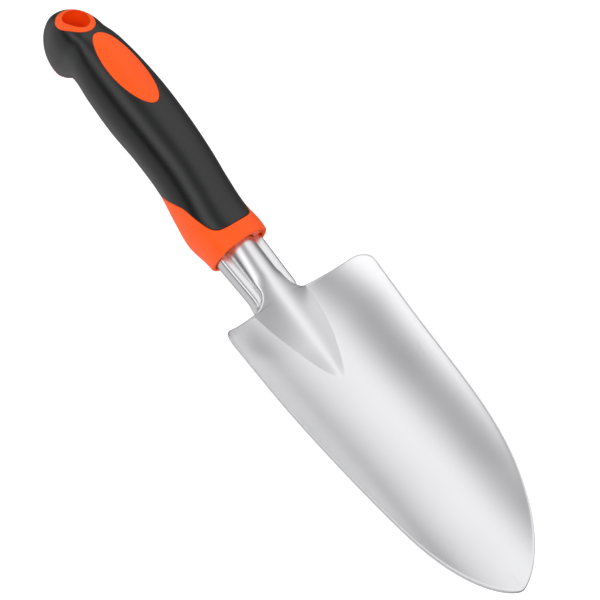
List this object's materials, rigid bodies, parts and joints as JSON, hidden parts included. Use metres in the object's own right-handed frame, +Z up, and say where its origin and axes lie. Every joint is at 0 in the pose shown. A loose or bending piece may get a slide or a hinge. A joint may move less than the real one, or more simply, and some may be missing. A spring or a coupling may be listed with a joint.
{
  "type": "hand trowel",
  "caption": "Hand trowel with a dished cast blade, a leaf-shaped crest and ribbed neck, and a two-colour moulded grip with a finger guard, thumb pad and hang hole.",
  "frame": {"origin": "middle of the tool's box in X and Y, at its lowest point, with the tool lying hollow side up", "axes": "+X along the tool towards the blade's tip, +Z up on the hollow side of the blade, +Y to the left"},
  "size_m": [0.3295, 0.082, 0.0414],
  "materials": {
    "cast_aluminium": "satin, finely brushed cast aluminium",
    "core_plastic": "as moulded, hidden",
    "orange_collar": "satin moulded orange",
    "black_rubber": "satin, finely textured soft rubber",
    "orange_pad": "satin soft orange inlay",
    "orange_eyelet": "satin moulded orange"
  },
  "bodies": {
    "root": {"blade": "cast_aluminium", "core": "core_plastic", "front_collar": "orange_collar", "grip_sleeve": "black_rubber", "thumb_pad": "orange_pad", "hang_eyelet": "orange_eyelet"}
  },
  "joints": []
}
